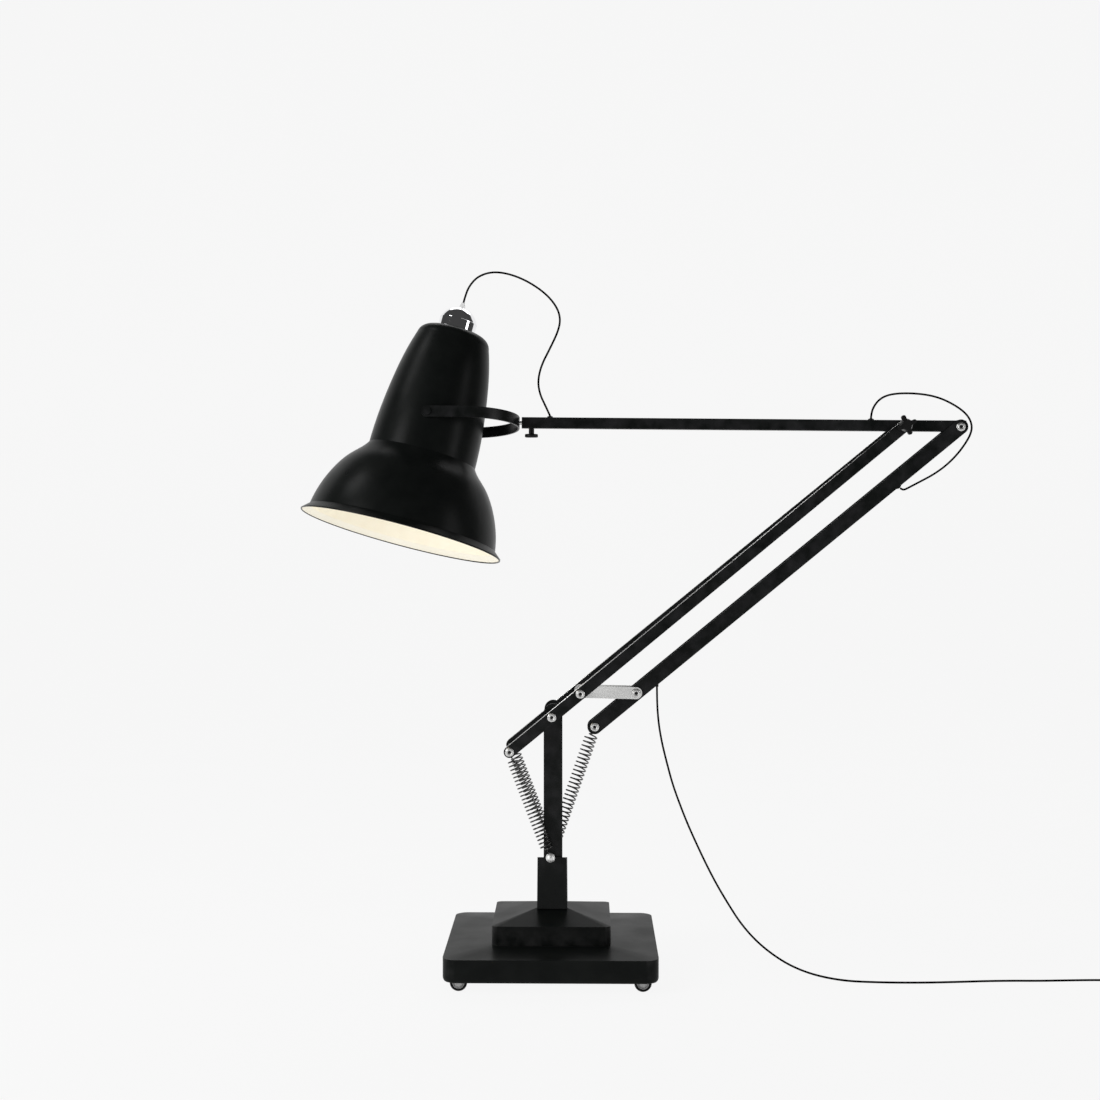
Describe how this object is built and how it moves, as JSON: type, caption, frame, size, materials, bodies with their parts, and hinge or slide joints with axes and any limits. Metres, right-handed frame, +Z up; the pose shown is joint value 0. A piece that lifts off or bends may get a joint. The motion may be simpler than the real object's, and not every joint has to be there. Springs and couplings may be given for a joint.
{
  "type": "adjustable arm floor lamp",
  "caption": "Floor lamp with a spring-balanced parallelogram arm, a tilting bell shade and a square wheeled base with a swivelling column.",
  "frame": {"origin": "on the floor under the column's swivel axis, at the middle of the base", "axes": "+Z up, +X from the column towards the elbow (the shade hangs out to -X), +Y from the knob's side to the far side of the arms"},
  "size_m": [1.8779, 0.5022, 1.5955],
  "materials": {
    "black_satin": "satin",
    "black_paint": "gloss",
    "shade_paint": "gloss outside, warm white inside",
    "raw_steel": "plain",
    "cast_ballast": "rough",
    "zinc": "zinc plated",
    "spring_steel": "bright",
    "black_plastic": "fine texture",
    "white_holder": "smooth",
    "cord_sheath": "satin",
    "castor_tyre": "matt",
    "chrome_plate": "polished",
    "clear_sleeve": "translucent",
    "opal_glass": "opal"
  },
  "bodies": {
    "base": {"base_lower_cover": "black_satin", "base_upper_cover": "black_satin", "base_plate": "raw_steel", "base_ballast": "cast_ballast", "castor_sockets": "raw_steel", "column_bearing": "raw_steel", "mains_flex": "cord_sheath", "mains_coil": "cord_sheath", "plug_lead": "cord_sheath", "mains_plug": "black_plastic"},
    "column": {"post_channel": "black_paint", "column_shroud": "black_paint", "column_spigot": "raw_steel", "anchor_pin": "zinc", "front_spring_near": "spring_steel", "front_spring_far": "spring_steel"},
    "lower_arm": {"lower_bar_near": "black_paint", "lower_bar_far": "black_paint", "base_pivot_pin": "zinc", "link_pivot_pin": "zinc", "lower_arm_spacers": "black_plastic", "lower_arm_screws": "zinc", "tail_studs": "zinc", "elbow_bolt": "zinc"},
    "upper_arm": {"upper_arm_tube": "black_paint", "arm_end_plug": "black_plastic", "arm_glands": "black_plastic", "arm_flex": "cord_sheath", "head_flex": "cord_sheath", "elbow_flex": "cord_sheath"},
    "star_knob": {"star_knob": "black_plastic"},
    "thumb_screw": {"thumb_screw": "black_plastic"},
    "rear_bar": {"rear_bar_channel": "black_paint", "arm_tail_pin": "zinc", "rear_spring_pin": "zinc", "mains_gland": "black_plastic", "loop_gland": "black_plastic", "rear_bar_flex": "cord_sheath"},
    "link": {"link_plates": "zinc"},
    "rear_pivot": {"rear_pivot_pin": "zinc"},
    "rear_spring_top": {"rear_spring_top": "spring_steel"},
    "rear_spring_middle": {"rear_spring_middle": "spring_steel"},
    "rear_spring_foot": {"rear_spring_foot": "spring_steel"},
    "fork": {"fork_strap": "black_paint", "fork_spigot": "zinc", "fork_screws": "zinc"},
    "shade": {"shade_shell": "shade_paint", "shade_bosses": "raw_steel", "chrome_cap": "chrome_plate", "cap_sleeve": "clear_sleeve", "lamp_holder": "white_holder", "bulb": "opal_glass"},
    "castor_fork_front_left": {"castor_fork_front_left": "raw_steel"},
    "castor_wheel_front_left": {"castor_wheel_front_left": "castor_tyre"},
    "castor_fork_front_right": {"castor_fork_front_right": "raw_steel"},
    "castor_wheel_front_right": {"castor_wheel_front_right": "castor_tyre"},
    "castor_fork_back_left": {"castor_fork_back_left": "raw_steel"},
    "castor_wheel_back_left": {"castor_wheel_back_left": "castor_tyre"},
    "castor_fork_back_right": {"castor_fork_back_right": "raw_steel"},
    "castor_wheel_back_right": {"castor_wheel_back_right": "castor_tyre"}
  },
  "joints": [
    {"name": "column_swivel", "type": "hinge", "parent": "base", "child": "column", "pos_m": [0, 0, 0.15], "axis": [0, 0, 1], "range_deg": [-90, 90], "deforming": ["mains_flex"]},
    {"name": "lower_arm_tilt", "type": "hinge", "parent": "column", "child": "lower_arm", "pos_m": [0, 0, 0.583], "axis": [0, -1, 0], "range_deg": [-15, 35], "deforming": ["front_spring_near", "front_spring_far", "rear_spring_top", "rear_spring_middle", "rear_spring_foot", "mains_flex"]},
    {"name": "upper_arm_tilt", "type": "hinge", "parent": "lower_arm", "child": "upper_arm", "pos_m": [0.79632, 0, 1.23943], "axis": [0, -1, 0], "range_deg": [-30, 15], "deforming": ["rear_spring_top", "rear_spring_middle", "rear_spring_foot", "elbow_flex", "mains_flex"]},
    {"name": "rear_bar_turn", "type": "hinge", "parent": "upper_arm", "child": "rear_bar", "pos_m": [0.92329, 0, 1.23677], "axis": [0, -1, 0], "range_deg": [-15, 30], "deforming": ["elbow_flex"]},
    {"name": "link_turn", "type": "hinge", "parent": "lower_arm", "child": "link", "pos_m": [0.06405, 0, 0.63579], "axis": [0, -1, 0], "range_deg": [-30, 15]},
    {"name": "rear_pivot_turn", "type": "hinge", "parent": "link", "child": "rear_pivot", "pos_m": [0.19102, 0, 0.63314], "axis": [0, -1, 0], "range_deg": [-15, 30]},
    {"name": "rear_spring_swing", "type": "hinge", "parent": "rear_bar", "child": "rear_spring_top", "pos_m": [0.09688, 0, 0.55553], "axis": [0, -1, 0], "range_deg": [-31.5, 13.5]},
    {"name": "rear_spring_upper_stretch", "type": "slide", "parent": "rear_spring_top", "child": "rear_spring_middle", "axis": [0.3261, 0, 0.9453], "range_m": [-0.03225, 0.06451]},
    {"name": "rear_spring_lower_stretch", "type": "slide", "parent": "rear_spring_middle", "child": "rear_spring_foot", "axis": [0.3261, 0, 0.9453], "range_m": [-0.05773, 0.02474]},
    {"name": "head_twist", "type": "hinge", "parent": "upper_arm", "child": "fork", "pos_m": [-0.069, 0, 1.247], "axis": [1, 0, -0.0087], "range_deg": [-75, 75], "deforming": ["head_flex"]},
    {"name": "shade_tilt", "type": "hinge", "parent": "fork", "child": "shade", "pos_m": [-0.27549, 0, 1.2488], "axis": [0.0013, -0.9895, 0.1444], "range_deg": [-40, 40], "deforming": ["head_flex"]},
    {"name": "star_knob_turn", "type": "hinge", "parent": "lower_arm", "child": "star_knob", "pos_m": [0.79632, 0, 1.23943], "axis": [0, -1, 0], "range_deg": [-180, 180]},
    {"name": "thumb_screw_turn", "type": "hinge", "parent": "upper_arm", "child": "thumb_screw", "pos_m": [-0.047, 0, 1.24681], "axis": [0.0087, 0, 1], "range_deg": [-180, 180]},
    {"name": "castor_swivel_front_left", "type": "hinge", "parent": "base", "child": "castor_fork_front_left", "pos_m": [-0.196, -0.196, 0.05], "axis": [0, 0, 1], "continuous": true},
    {"name": "castor_roll_front_left", "type": "hinge", "parent": "castor_fork_front_left", "child": "castor_wheel_front_left", "pos_m": [-0.201, -0.196, 0.019], "axis": [0, 1, 0], "continuous": true},
    {"name": "castor_swivel_front_right", "type": "hinge", "parent": "base", "child": "castor_fork_front_right", "pos_m": [0.196, -0.196, 0.05], "axis": [0, 0, 1], "continuous": true},
    {"name": "castor_roll_front_right", "type": "hinge", "parent": "castor_fork_front_right", "child": "castor_wheel_front_right", "pos_m": [0.201, -0.196, 0.019], "axis": [0, 1, 0], "continuous": true},
    {"name": "castor_swivel_back_left", "type": "hinge", "parent": "base", "child": "castor_fork_back_left", "pos_m": [-0.196, 0.196, 0.05], "axis": [0, 0, 1], "continuous": true},
    {"name": "castor_roll_back_left", "type": "hinge", "parent": "castor_fork_back_left", "child": "castor_wheel_back_left", "pos_m": [-0.201, 0.196, 0.019], "axis": [0, 1, 0], "continuous": true},
    {"name": "castor_swivel_back_right", "type": "hinge", "parent": "base", "child": "castor_fork_back_right", "pos_m": [0.196, 0.196, 0.05], "axis": [0, 0, 1], "continuous": true},
    {"name": "castor_roll_back_right", "type": "hinge", "parent": "castor_fork_back_right", "child": "castor_wheel_back_right", "pos_m": [0.201, 0.196, 0.019], "axis": [0, 1, 0], "continuous": true}
  ],
  "couplings": [
    {"joint": "rear_bar_turn", "follows": "upper_arm_tilt", "ratio": -1},
    {"joint": "link_turn", "follows": "upper_arm_tilt", "ratio": 1},
    {"joint": "rear_pivot_turn", "follows": "upper_arm_tilt", "ratio": -1},
    {"joint": "rear_spring_swing", "follows": "lower_arm_tilt", "ratio": -0.9},
    {"joint": "rear_spring_upper_stretch", "follows": "upper_arm_tilt", "m_per_rad": -0.1232},
    {"joint": "rear_spring_lower_stretch", "follows": "lower_arm_tilt", "m_per_rad": -0.0945}
  ]
}
